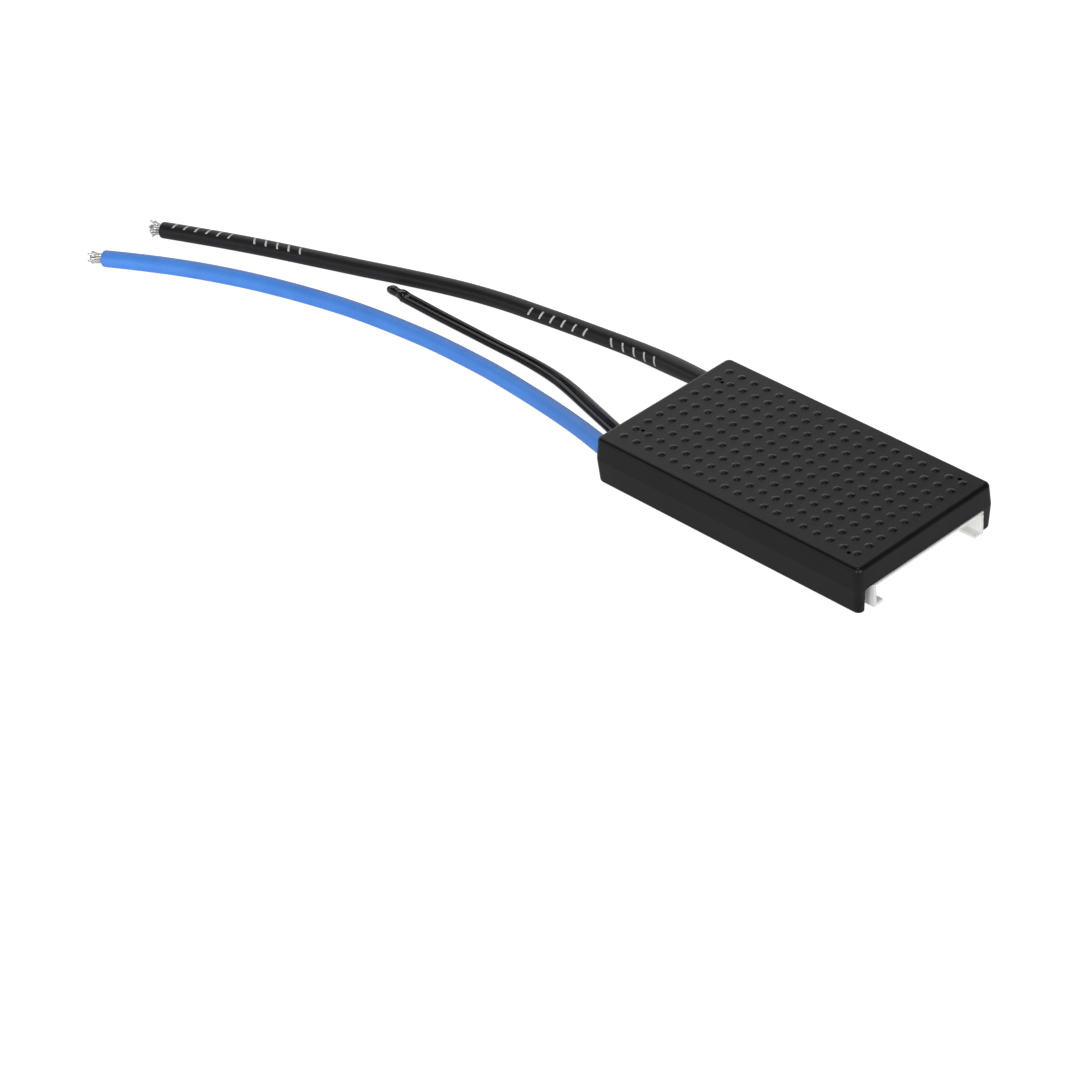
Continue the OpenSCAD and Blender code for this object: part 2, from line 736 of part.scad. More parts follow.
// Space that the embedded circuit takes up in the moulding
module circuit_space() {
    translate([(board_x0 + board_x1) / 2, 0, board_z])
        round_plate(board_l, board_w, board_t, board_corner_r);
    under_board(discharge_places) block(switch_size);
    under_board(charge_places) block(switch_size);
    under_board(gate_places) block(small_chip_size);
    under_board(shunt_places) block(shunt_size);
    under_board(monitor_places) block(monitor_size);
    under_board(regulator_places) block(regulator_size);
    under_board(surge_places) block(surge_diode_size);
    under_board(balance_transistor_places) block(small_transistor_size);
    under_board(filter_resistor_places) block(small_chip_size);
    under_board(filter_capacitor_places) block(capacitor_size);
    on_board(driver_places) block(small_transistor_size);
    on_board(balance_resistor_places) block(balance_chip_size);
    way_places() {
        contact();
        contact_joint_blank();
    }
    power_joint(blue_route);
    power_joint(black_route);
    thermistor_joints();
}

// Bores that hold the ends of the leads' jackets
module lead_bores() {
    bore_l = lead_end_wall;
    for (route = [blue_route, black_route])
        translate([jacket_end_x - bore_l, route[0][1], route[0][2]])
            rotate([0, 90, 0]) cylinder(d = lead_d, h = bore_l);
    translate([jacket_end_x - bore_l, twin_route[0][1], twin_route[0][2]])
        rotate([twin_roll[0], 0, 0]) {
            for (s = [-1, 1]) translate([0, s * twin_d / 2, 0])
                rotate([0, 90, 0]) cylinder(d = twin_d, h = bore_l);
            translate([0, -web_w / 2, -web_h / 2]) cube([bore_l, web_w, web_h]);
        }
}

module moulded_case() {
    color("#2a2a2b") difference() {
        case_blank();
        dimples();
        for (p = locating_holes)
            translate([p[0], p[1], board_top]) cylinder(d = locating_d, h = cover_t + eps);
        header_notch();
        for (y = [header_y0, header_y1 - end_wall_t])
            translate([header_x0, y, header_lift]) cube([ear_depth + eps, end_wall_t, header_h]);
        circuit_space();
        lead_bores();
    }
}

moulded_case();
circuit_board();
header_shroud();
header_contacts();
contact_joints();
discharge_switches();
charge_switches();
gate_resistors();
current_shunts();
cell_monitors();
regulator();
driver_transistors();
surge_diode();
balance_transistors();
balance_resistors();
filter_resistors();
filter_capacitors();
power_joints();
thermistor_joints();
blue_lead();
blue_lead_strands();
black_lead();
black_lead_strands();
thermistor_lead();
thermistor_bead();
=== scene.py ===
"""Looks of a battery management module: a flat black moulding with two power leads, a thermistor
lead and a balance header, on a pale studio floor. Everything is in metres, in the part's own
frame."""

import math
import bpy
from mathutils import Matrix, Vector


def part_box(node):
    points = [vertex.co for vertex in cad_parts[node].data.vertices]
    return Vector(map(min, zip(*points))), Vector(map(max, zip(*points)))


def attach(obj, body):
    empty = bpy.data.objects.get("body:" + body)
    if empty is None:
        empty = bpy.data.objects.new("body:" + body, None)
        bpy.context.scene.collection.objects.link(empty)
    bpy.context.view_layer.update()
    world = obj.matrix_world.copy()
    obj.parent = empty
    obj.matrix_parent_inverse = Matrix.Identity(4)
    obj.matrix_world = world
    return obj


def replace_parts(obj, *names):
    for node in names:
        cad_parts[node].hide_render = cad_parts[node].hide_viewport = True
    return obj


bl_info = {
    "name": "Battery Management Module",
    "version": (1, 0, 0),
    "blender": (4, 5, 0),
    "location": "View3D > Sidebar > Battery Module",
    "description": "Builds the finishes, leads and studio of a moulded battery management module",
    "category": "Object",
}

from collections import namedtuple

import bpy
from bpy.props import FloatProperty, FloatVectorProperty, IntProperty, PointerProperty
from mathutils import Matrix, Vector, noise

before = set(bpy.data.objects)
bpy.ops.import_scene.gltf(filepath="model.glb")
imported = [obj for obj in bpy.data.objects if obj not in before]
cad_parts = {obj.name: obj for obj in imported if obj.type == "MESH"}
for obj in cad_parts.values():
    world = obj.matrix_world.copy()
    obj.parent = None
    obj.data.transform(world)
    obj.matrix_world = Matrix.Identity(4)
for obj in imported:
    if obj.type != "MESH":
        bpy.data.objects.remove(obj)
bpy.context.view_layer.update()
CASE_LOW, CASE_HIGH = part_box("moulded_case")

MM = 0.001

# Routes of the leads from the board outwards, in millimetres, as the solids have them
BLUE_ROUTE = [
    (-30, -13.6, 3.9), (-33.4, -13.6, 3.9), (-37, -12.8, 3.8), (-43, -11.2, 3.3),
    (-50, -9.4, 2.5), (-57, -8, 1.9), (-64, -7.2, 1.8), (-72, -6.6, 1.8), (-80, -6.4, 1.8),
    (-88, -6.5, 1.8), (-96, -7, 1.8), (-104, -7.8, 1.8), (-112, -9, 1.8), (-120, -10.7, 1.8),
    (-128, -12.8, 1.8), (-136, -15.3, 1.8), (-144, -18.3, 1.8), (-152, -21.8, 1.8),
    (-160, -25.9, 1.8), (-165, -28.7, 1.8),
]
BLACK_ROUTE = [
    (-30, 15.1, 3.9), (-33.4, 15.1, 3.9), (-37, 15.8, 3.6), (-43, 16.6, 2.9), (-50, 17.3, 2.1),
    (-57, 17.25, 1.8), (-64, 16.5, 1.8), (-72, 15.5, 1.8), (-80, 14.4, 1.8), (-88, 13.2, 1.8),
    (-96, 11.5, 1.8), (-104, 9.2, 1.8), (-112, 6.5, 1.8), (-120, 3.6, 1.8), (-128, 0.8, 1.8),
    (-136, -2, 1.8), (-144, -4.9, 1.8), (-152, -8, 1.8), (-160, -11.3, 1.8), (-164.6, -13.3, 1.8),
]
TWIN_ROUTE = [
    (-30, -9.4, 4.1), (-33.4, -9.4, 4.1), (-36.5, -8.2, 4), (-41, -6.6, 3.6), (-46, -4.7, 2.9),
    (-51, -2.8, 2.2), (-56, -1, 1.6), (-61, 0.4, 1.2), (-67, 1.3, 1), (-73, 1.7, 0.9),
    (-79, 1.8, 0.8), (-85, 1.9, 0.8), (-91, 2, 0.8), (-97, 2.1, 0.8), (-103, 2.3, 0.8),
    (-107.2, 2.4, 0.8),
]
# Roll of the twin lead at each point of its route, in degrees
TWIN_ROLL = [20, 20, 30, 42, 42, 35, 22, 8, 0, -6, -8, -6, -4, -2, 0, 0]
# Points that a stretch between two points of a route is first divided into
STRETCH_POINTS = 24

# The two power leads: unevenness and swelling of the jacket as shares of its radius, then the
# strands' share of the bare length, how far they splay and hook, and the seed of both
PowerLead = namedtuple("PowerLead", "colour route uneven swell reach splay hook seed")
POWER_LEADS = (
    PowerLead("blue", BLUE_ROUTE, uneven=0.018, swell=0.0,
              reach=1.0, splay=0.12, hook=0.35, seed=2.0),
    PowerLead("black", BLACK_ROUTE, uneven=0.014, swell=0.12,
              reach=0.86, splay=0.4, hook=1.0, seed=9.0),
)
# Scale of a jacket's unevenness in the noise: along a metre of lead, and round the lead
WAVES_ALONG, WAVES_ROUND = 90, 1.3
# Where a jacket swells, as it comes down to the floor, and how far the swelling reaches
SWELL_AT, SWELL_REACH = 0.017, 0.009
# Cut end of a jacket: millimetres past the lead's end, and share of the radius
CUT_END = [(-0.55, 0.998), (-0.35, 0.985), (-0.18, 0.955), (-0.05, 0.905), (0.03, 0.84),
           (0.06, 0.76)]
# The edge of the hole round the core is this share of the radius wider than the core
CUT_LIP = 0.06
# Length of a jacket, in millimetres, that its cut end takes up, and the room round the core
CUT_LENGTH, CORE_GAP = 0.75, 0.00004

# Layers of strands round the middle one: number of the layer, and wires in it
STRAND_LAYERS = ((1, 6), (2, 11))
# Radii of one strand across the core, and from one layer to the next
CORE_IN_STRANDS, LAYER_IN_STRANDS = 8.6, 1.8
# Rings along a strand and points round it
STRAND_RINGS, STRAND_SIDES = 18, 10
# How far a strand starts inside the jacket, in millimetres
STRAND_ROOT = 0.4
# Steps of the noise from strand to strand, and from one of its chances to the next
STRAND_STEP, CHANCE_STEP = 7.31, 3.7
# How far a full hook reaches sideways and back, in millimetres
HOOK_OUT, HOOK_BACK = 0.5, 0.45
# Thickness of a strand's snipped tip, and of the least room under it, in radii of a strand
TIP_SHARE, STRAND_CLEAR = 0.72, 1.05

# Half angle of the web between the twin lead's wires, seen from a wire's centre, in degrees
WEB_ANGLE = 16
# Points round one of its wires
TWIN_POINTS = 22
# Boot and neck of the bead: millimetres past the wires' end, half width and half height
BOOT_PROFILE = [
    (-1.6, 1.405, 0.705), (-1.2, 1.41, 0.74), (-0.8, 1.41, 0.84), (-0.4, 1.38, 0.93),
    (0.0, 1.33, 1.0), (0.4, 1.28, 1.04), (0.8, 1.23, 1.05), (1.15, 1.15, 1.02),
    (1.4, 1.05, 0.97), (1.58, 0.95, 0.9), (1.7, 0.9, 0.86), (1.8, 0.91, 0.88), (2.0, 0.96, 0.95),
]
# Length, in millimetres, over which the boot's two ridges run together, and their depth
BOOT_BLEND, BOOT_PINCH = 1.5, 0.3
# Middle and half length of the bead's drop, in millimetres past the wires' end
DROP_MIDDLE, DROP_HALF = 3.2, 1.95
# Width of the epoxy's drop in diameters of the bead inside it
DROP_SWELL = 1.06
# Degrees from the drop's widest place to its last ring, and the steps between them
DROP_TURN, DROP_STEPS = 84, 10
# Points round the bead
BEAD_POINTS = 36
# Least height of the bead over the floor, in millimetres
BEAD_CLEAR = 0.01

# How full a dot's outline is: 1 is a plain cap, 2 a bell
DOT_FULLNESS = 1.4

# Printed strokes: start along the jacket, number, pitch and lean, lengths in millimetres
PRINT_GROUPS = [
    (18.5, 5, 2.95, 0.35), (37, 6, 2.75, -0.35),
    (105.5, 5, 2.7, 0.35), (122.0, 6, 2.6, -0.35),
]
# The print winds slowly round the lead: two places along it, in millimetres, and the turn at each
PRINT_FROM, PRINT_TO = (25.0, 0.45), (130.0, 0.265)
# Millimetres round the jacket
JACKET_GIRTH = 11.0
# Full and faded out: half width of a stroke in pitches, and half its height in millimetres
STROKE_WIDTH, STROKE_HEIGHT = (0.065, 0.095), (0.82, 0.92)

# Finishes of the parts inside the moulding: name, colour, roughness, grain scale and nodes
PART_FINISHES = (
    ("Component moulding", (0.012, 0.012, 0.013), 0.5, 5000.0,
     ("discharge_switches", "charge_switches", "cell_monitors", "regulator",
      "driver_transistors", "surge_diode", "balance_transistors")),
    ("Chip glaze", (0.02, 0.02, 0.022), 0.25, 4000.0,
     ("gate_resistors", "balance_resistors", "filter_resistors")),
    ("Capacitor ceramic", (0.42, 0.3, 0.17), 0.4, 4000.0, ("filter_capacitors",)),
)
# Metals on the board: name, light and dark tone, pool scale and nodes
METAL_FINISHES = (
    ("Shunt alloy", (0.5, 0.48, 0.44), (0.36, 0.34, 0.31), 1500.0, ("current_shunts",)),
    ("Lead solder", (0.68, 0.69, 0.7), (0.46, 0.47, 0.48), 900.0,
     ("power_joints", "thermistor_joints")),
)

# Width of the camera's sensor in millimetres
SENSOR_WIDTH = 36.0
# Floor: depth under the module, cells along a side and half a side
FLOOR_DROP, FLOOR_CELLS, FLOOR_HALF = 0.00005, 24, 4.0
# The point that every softbox faces
LIT_POINT = (-0.05, 0, 0)
# Softboxes: name, degrees round from the camera, degrees up, distance, width, height, the setting
# that holds its brightness and its share of that
SOFTBOXES = (
    ("horizon", 180, 8, 1.2, 2.6, 0.36, "horizon", 1),
    ("back_softbox", 198, 32, 1.2, 1.15, 0.5, "back", 0.82),
    ("back_strip", 182, 55, 1.2, 1.1, 0.22, "back", 2),
    ("left_softbox", -28, 12, 1.2, 0.45, 0.5, "key", 1),
    ("right_softbox", 28, 12, 1.2, 0.45, 0.5, "key", 1.2),
    ("side_strip", -88, 13, 1.2, 1.2, 0.3, "side", 1),
    ("top_softbox", 0, 72, 1.1, 0.3, 1.1, "top", 1.8),
)
# Tone of the studio round the module, as it lights it and as the camera sees it
SURROUND_LIGHT, SURROUND_SEEN = 0.1, 0.95


# ------------------------------------------------------------------ sizes and colours


class BATTERYMODULE_PG_leads(bpy.types.PropertyGroup):
    """Sizes and colours of the power leads and the thermistor lead"""

    lead_diameter: FloatProperty(
        name="Lead diameter", description="Outer diameter of a power lead",
        default=0.0035, min=0.001, unit="LENGTH")
    core_diameter: FloatProperty(
        name="Core diameter", description="Diameter of a power lead's bundle of strands",
        default=0.002, min=0.0005, unit="LENGTH")
    strip_length: FloatProperty(
        name="Bare length", description="Length of bare strands at a power lead's end",
        default=0.0033, min=0.0005, unit="LENGTH")
    wire_diameter: FloatProperty(
        name="Twin wire diameter", description="Outer diameter of one wire of the thermistor lead",
        default=0.0014, min=0.0004, unit="LENGTH")
    bead_diameter: FloatProperty(
        name="Bead diameter", description="Diameter of the thermistor's coated bead",
        default=0.0019, min=0.0005, unit="LENGTH")
    ring_step: FloatProperty(
        name="Ring step", description="Distance between the rings of a lead's mesh",
        default=0.0008, min=0.0002, unit="LENGTH")
    sides: IntProperty(
        name="Sides", description="Points round a power lead", default=32, min=8, max=96)
    blue: FloatVectorProperty(
        name="Blue jacket", description="Colour of the battery lead's silicone",
        default=(0.08, 0.295, 0.92), size=3, min=0, max=1, subtype="COLOR")
    black: FloatVectorProperty(
        name="Black jacket", description="Colour of the load lead's silicone",
        default=(0.009, 0.009, 0.0098), size=3, min=0, max=1, subtype="COLOR")
    ink: FloatVectorProperty(
        name="Printed marks", description="Colour of the marks along the black lead",
        default=(0.75, 0.76, 0.78), size=3, min=0, max=1, subtype="COLOR")


class BATTERYMODULE_PG_case(bpy.types.PropertyGroup):
    """Colours and finish of the moulded case, the header and the circuit"""

    moulding: FloatVectorProperty(
        name="Moulding", description="Colour of the case's moulding compound",
        default=(0.0045, 0.0045, 0.0048), size=3, min=0, max=1, subtype="COLOR")
    gloss: FloatProperty(
        name="Roughness", description="Roughness of the moulded faces",
        default=0.3, min=0, max=1, subtype="FACTOR")
    grain_depth: FloatProperty(
        name="Grain depth", description="Depth of the moulded grain",
        default=0.00002, min=0, unit="LENGTH")
    dot_columns: IntProperty(
        name="Dot columns", description="Dots along the case's top", default=19, min=1)
    dot_rows: IntProperty(
        name="Dot rows", description="Dots across the case's top", default=10, min=1)
    dot_pitch: FloatProperty(
        name="Dot pitch", description="Distance between dots, both ways",
        default=0.003175, min=0.001, unit="LENGTH")
    dot_radius: FloatProperty(
        name="Dot radius", description="Radius of a dot at its foot",
        default=0.00092, min=0.0001, unit="LENGTH")
    dot_height: FloatProperty(
        name="Dot height", description="Height of a dot over the top",
        default=0.00032, min=0, unit="LENGTH")
    mark_radius: FloatProperty(
        name="Mark radius", description="Radius of the mark that the solid has in a dot's place",
        default=0.0008, min=0.0001, unit="LENGTH")
    mark_depth: FloatProperty(
        name="Mark depth", description="Depth of the mark that the solid has in a dot's place",
        default=0.00035, min=0, unit="LENGTH")
    nylon: FloatVectorProperty(
        name="Header", description="Colour of the header's nylon",
        default=(0.95, 0.95, 0.935), size=3, min=0, max=1, subtype="COLOR")
    solder_mask: FloatVectorProperty(
        name="Board", description="Colour of the board's solder mask",
        default=(0.012, 0.09, 0.04), size=3, min=0, max=1, subtype="COLOR")


class BATTERYMODULE_PG_stage(bpy.types.PropertyGroup):
    """Studio: floor, lights and camera"""

    floor_tone: FloatVectorProperty(
        name="Floor", description="Colour of the studio floor",
        default=(0.42, 0.42, 0.42), size=3, min=0, max=1, subtype="COLOR")
    floor_glow: FloatProperty(
        name="Floor glow", description="Glow of the lit table as the camera sees it",
        default=0.95, min=0)
    floor_bounce: FloatProperty(
        name="Floor bounce", description="Light that the table throws back on the module",
        default=0.28, min=0)
    azimuth: FloatProperty(
        name="Azimuth", description="Direction that the camera stands in",
        default=math.radians(47.59), subtype="ANGLE", unit="ROTATION")
    elevation: FloatProperty(
        name="Elevation", description="Camera's height over the horizon",
        default=math.radians(35.23), subtype="ANGLE", unit="ROTATION")
    roll: FloatProperty(
        name="Roll", description="Camera's turn about its own axis",
        default=math.radians(-3.93), subtype="ANGLE", unit="ROTATION")
    distance: FloatProperty(
        name="Distance", description="Distance from the camera to the case's top",
        default=0.6699, min=0.05, unit="LENGTH")
    shift_right: FloatProperty(
        name="Case right of centre",
        description="How far right of the view's centre the case stands",
        default=0.04572, unit="LENGTH")
    shift_up: FloatProperty(
        name="Case over centre", description="How far over the view's centre the case stands",
        default=0.01472, unit="LENGTH")
    lens: FloatProperty(
        name="Lens", description="Focal length on a 36 mm sensor", default=122.5, min=10)
    key: FloatProperty(
        name="Key softboxes", description="Brightness of the two softboxes in front",
        default=6.5, min=0)
    back: FloatProperty(
        name="Back softbox", description="Brightness of the wide softbox behind",
        default=1.0, min=0)
    top: FloatProperty(
        name="Top softbox", description="Brightness of the softboxes overhead", default=1.1, min=0)
    horizon: FloatProperty(
        name="Horizon", description="Brightness of the low light behind", default=1.15, min=0)
    side: FloatProperty(
        name="Side strip", description="Brightness of the low strip at the left",
        default=1.2, min=0)


# ------------------------------------------------------------------ routes and meshes


def travel_axes(along):
    """Sideways and upward directions of a lead that runs in the given direction."""
    side = along.cross(Vector((0, 0, 1))).normalized()
    return side, side.cross(along)


def spoke(side, up, angle):
    """Direction at an angle round a lead."""
    return side * math.cos(angle) + up * math.sin(angle)


def smooth_route(points_mm, step, extras=None):
    """Evenly spaced points of a smooth curve through a route, the value of extras at each, and the
    curve's length."""
    points = [Vector(p) * MM for p in points_mm]
    extras = extras or [0.0] * len(points)
    ends = [2 * points[0] - points[1], *points, 2 * points[-1] - points[-2]]
    knots = [0.0]
    for a, b in zip(ends, ends[1:]):
        knots.append(knots[-1] + math.sqrt((b - a).length))
    fine = []
    for i in range(1, len(ends) - 2):
        p, t = ends[i - 1:i + 3], knots[i - 1:i + 3]
        for k in range(STRETCH_POINTS):
            u = t[1] + (t[2] - t[1]) * k / STRETCH_POINTS
            a = [p[j] + (p[j + 1] - p[j]) * ((u - t[j]) / (t[j + 1] - t[j])) for j in range(3)]
            b = [a[j] + (a[j + 1] - a[j]) * ((u - t[j]) / (t[j + 2] - t[j])) for j in range(2)]
            value = extras[i - 1] + (extras[i] - extras[i - 1]) * k / STRETCH_POINTS
            fine.append((b[0] + (b[1] - b[0]) * ((u - t[1]) / (t[2] - t[1])), value))
    fine.append((points[-1], extras[-1]))
    lengths = [0.0]
    for (a, _), (b, _) in zip(fine, fine[1:]):
        lengths.append(lengths[-1] + (b - a).length)
    count = round(lengths[-1] / step)
    route, values, at = [], [], 0
    for n in range(count + 1):
        s = lengths[-1] * n / count
        while at < len(fine) - 2 and lengths[at + 1] < s:
            at += 1
        w = (s - lengths[at]) / (lengths[at + 1] - lengths[at])
        route.append(fine[at][0].lerp(fine[at + 1][0], w))
        values.append(fine[at][1] + (fine[at + 1][1] - fine[at][1]) * w)
    return route, values, lengths[-1]


def heading(route, i):
    """Direction of a route at one of its points."""
    return (route[min(i + 1, len(route) - 1)] - route[max(i - 1, 0)]).normalized()


def loft(name, rings, lengths=None):
    """A closed smooth-shaded mesh through rings of equally many points, with its length and turn
    as UVs."""
    n = len(rings[0])
    verts = [p for ring in rings for p in ring]
    faces, uvs = [], []
    lengths = lengths or [MM * i for i in range(len(rings))]
    for i in range(len(rings) - 1):
        for j in range(n):
            k = (j + 1) % n
            faces.append((i * n + j, i * n + k, (i + 1) * n + k, (i + 1) * n + j))
            uvs.append([(lengths[i], j / n), (lengths[i], (j + 1) / n),
                        (lengths[i + 1], (j + 1) / n), (lengths[i + 1], j / n)])
    faces.append(tuple(range(n - 1, -1, -1)))
    uvs.append([(lengths[0], 0)] * n)
    faces.append(tuple((len(rings) - 1) * n + j for j in range(n)))
    uvs.append([(lengths[-1], 0)] * n)
    mesh = bpy.data.meshes.new(name)
    mesh.from_pydata(verts, [], faces)
    layer = mesh.uv_layers.new(name="Along")
    for loop, uv in zip(layer.data, [uv for face in uvs for uv in face]):
        loop.uv = uv
    mesh.shade_smooth()
    mesh.update()
    piece = bpy.data.objects.new(name, mesh)
    bpy.context.scene.collection.objects.link(piece)
    return piece


def joined(name, pieces):
    """One piece made of several meshes."""
    with bpy.context.temp_override(active_object=pieces[0], selected_editable_objects=pieces,
                                   selected_objects=pieces):
        bpy.ops.object.join()
    pieces[0].name = name
    return pieces[0]


def jacket(name, route, lengths, radius, core, sides, lead):
    """A power lead's jacket: a tube with soft unevenness and a rounded cut end round the core."""
    rings, marks = [], []
    for i, p in enumerate(route):
        if lengths[-1] - lengths[i] < CUT_LENGTH * MM:
            continue
        side, up = travel_axes(heading(route, i))
        full = 1 + lead.swell * math.exp(-((lengths[i] - SWELL_AT) / SWELL_REACH) ** 2)
        ring = []
        for j in range(sides):
            a = 2 * math.pi * j / sides
            wave = noise.noise(Vector((lengths[i] * WAVES_ALONG,
                                       WAVES_ROUND * math.cos(a) + lead.seed,
                                       WAVES_ROUND * math.sin(a))))
            ring.append(p + spoke(side, up, a) * (radius * (full + lead.uneven * wave)))
        rings.append(ring)
        marks.append(lengths[i])
    end, along = route[-1], heading(route, len(route) - 1)
    side, up = travel_axes(along)
    # the cut end turns in and runs back along the core
    inner = core / radius
    for forward, share in [*CUT_END, (0.04, inner + CUT_LIP), (-0.1, inner), (-0.7, inner)]:
        rings.append([end + along * (forward * MM)
                      + spoke(side, up, 2 * math.pi * j / sides) * (radius * share)
                      for j in range(sides)])
        marks.append(marks[-1] + 0.1 * MM)
    return loft(name, rings, marks)


def strand_bundle(name, end, along, core, length, lead):
    """The tinned strands of a stripped end: wires round one, twisted, splayed and hooked."""
    side, up = travel_axes(along)
    wire = core / CORE_IN_STRANDS
    places = [(0.0, 0.0)]
    for layer, count in STRAND_LAYERS:
        places += [(LAYER_IN_STRANDS * wire * layer, 2 * math.pi * (k + 0.5 * (layer % 2)) / count)
                   for k in range(count)]
    strands = []
    for number, (orbit, angle) in enumerate(places):
        # five chances for each wire: its reach, fan, twist, and its hook's direction and size
        chance = [noise.noise(Vector((number * STRAND_STEP + k * CHANCE_STEP, lead.seed, 0.5)))
                  for k in range(5)]
        reach = length * (0.9 + 0.25 * chance[0])
        fan = lead.splay * (0.5 + 1.3 * abs(chance[1]))
        curl = lead.hook * (0.4 + 1.6 * abs(chance[4]))
        bend = angle + 2.5 * chance[3]
        line = []
        for i in range(STRAND_RINGS + 1):
            f = i / STRAND_RINGS
            a = angle + 0.5 * f + 0.6 * chance[2] * f * f
            r = orbit * (1 + fan * f * f * 2.2)
            tip = max(0.0, f - 0.55) / 0.45  # from 0 to 1 over the part that hooks
            bow = spoke(side, up, bend) * (curl * HOOK_OUT * MM * tip ** 1.6)
            forward = (-STRAND_ROOT * MM + (reach + STRAND_ROOT * MM) * f
                       - curl * HOOK_BACK * MM * tip ** 2.4)
            spot = end + along * forward + side * (r * math.cos(a)) + up * (r * math.sin(a)) + bow
            spot.z = max(spot.z, STRAND_CLEAR * wire)
            line.append(spot)
        rings = []
        for i, p in enumerate(line):
            s, u = travel_axes(heading(line, i))
            r = wire * (TIP_SHARE if i == STRAND_RINGS else 1.0)
            rings.append([p + spoke(s, u, 2 * math.pi * k / STRAND_SIDES) * r
                          for k in range(STRAND_SIDES)])
        strands.append(loft(f"{name}_{number}", rings))
    return joined(name, strands)


def twin_jacket(name, route, rolls, lengths, wire_d):
    """The thermistor's flat twin lead: two round wires side by side, joined by a thin web."""
    r = wire_d / 2
    web = math.radians(WEB_ANGLE)
    section = [(r + r * math.cos(a), r * math.sin(a))
               for a in [web - math.pi + (2 * math.pi - 2 * web) * k / TWIN_POINTS
                         for k in range(TWIN_POINTS + 1)]]
    section += [(-x, -y) for x, y in section]
    rings = []
    for i, p in enumerate(route):
        side, up = travel_axes(heading(route, i))
        c, s = math.cos(rolls[i]), math.sin(rolls[i])
        rings.append([p + side * (x * c - y * s) + up * (x * s + y * c) for x, y in section])
    return loft(name, rings, lengths)


def dipped_bead(name, end, along, roll, bead_d):
    """The coated thermistor: a boot of epoxy over both wires, a neck and a round drop."""
    side, up = travel_axes(along)
    axis_w = side * math.cos(roll) + up * math.sin(roll)
    axis_h = up * math.cos(roll) - side * math.sin(roll)
    drop = bead_d / 2 / MM
    profile = list(BOOT_PROFILE)
    for k in range(-3, DROP_STEPS + 1):
        a = math.radians(DROP_TURN * k / DROP_STEPS)
        round_half = DROP_SWELL * drop * math.cos(a)
        profile.append((DROP_MIDDLE + DROP_HALF * math.sin(a), round_half, round_half))
    rings = []
    for x, w, h in profile:
        blend = max(0.0, min(1.0, (x - BOOT_PROFILE[0][0]) / BOOT_BLEND))
        ring = []
        for k in range(BEAD_POINTS):
            a = 2 * math.pi * k / BEAD_POINTS
            groove = math.sin(a) ** 2 * math.exp(-(math.cos(a) / 0.35) ** 2)
            pinch = 1 - (1 - blend) * BOOT_PINCH * groove
            ring.append(end + along * (x * MM) + axis_w * (w * MM * math.cos(a))
                        + axis_h * (h * MM * pinch * math.sin(a)))
        # the epoxy lies on the floor
        lift = Vector((0, 0, max(0.0, BEAD_CLEAR * MM - min(p.z for p in ring))))
        rings.append([p + lift for p in ring])
    middle = rings[-1][0].lerp(rings[-1][BEAD_POINTS // 2], 0.5)
    tip = end + along * ((DROP_MIDDLE + DROP_HALF) * MM)
    tip.z = middle.z
    rings.append([tip + (p - middle) * 0.05 for p in rings[-1]])
    return loft(name, rings)


def dotted_case(name, case):
    """The moulded case with its top's grid of marks raised as soft round dots."""
    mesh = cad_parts["moulded_case"].data.copy()
    mesh.name = name
    top, reach = CASE_HIGH.z, case.dot_radius / case.mark_radius
    # a little past the solid's marks, so that their floors and rims count as theirs
    lowest, rim = top - case.mark_depth * 1.05, 1.002 * case.mark_radius
    half_columns, half_rows = (case.dot_columns - 1) / 2, (case.dot_rows - 1) / 2
    normals = [Vector(n.vector) for n in mesh.corner_normals]
    dotted = {}
    for v in mesh.vertices:
        if v.co.z < lowest:
            continue
        column = round(v.co.x / case.dot_pitch + half_columns)
        row = round(v.co.y / case.dot_pitch + half_rows)
        if not (0 <= column < case.dot_columns and 0 <= row < case.dot_rows):
            continue
        centre = Vector(((column - half_columns) * case.dot_pitch,
                         (row - half_rows) * case.dot_pitch, 0))
        out = Vector((v.co.x, v.co.y, 0)) - centre
        if out.length > rim:
            continue
        # height and slope of the dot at this share of its radius
        u = min(1.0, out.length / case.mark_radius)
        rise = (1 - u * u) ** DOT_FULLNESS
        fall = (2 * DOT_FULLNESS * u * (1 - u * u) ** (DOT_FULLNESS - 1)
                * case.dot_height / case.dot_radius)
        v.co = centre + out * reach + Vector((0, 0, top + case.dot_height * rise))
        dotted[v.index] = (Vector((0, 0, 1)) + out.normalized() * fall).normalized()
    for loop in mesh.loops:
        normals[loop.index] = dotted.get(loop.vertex_index, normals[loop.index])
    mesh.normals_split_custom_set(normals)
    piece = bpy.data.objects.new(name, mesh)
    bpy.context.scene.collection.objects.link(piece)
    return piece


# ------------------------------------------------------------------ shader groups


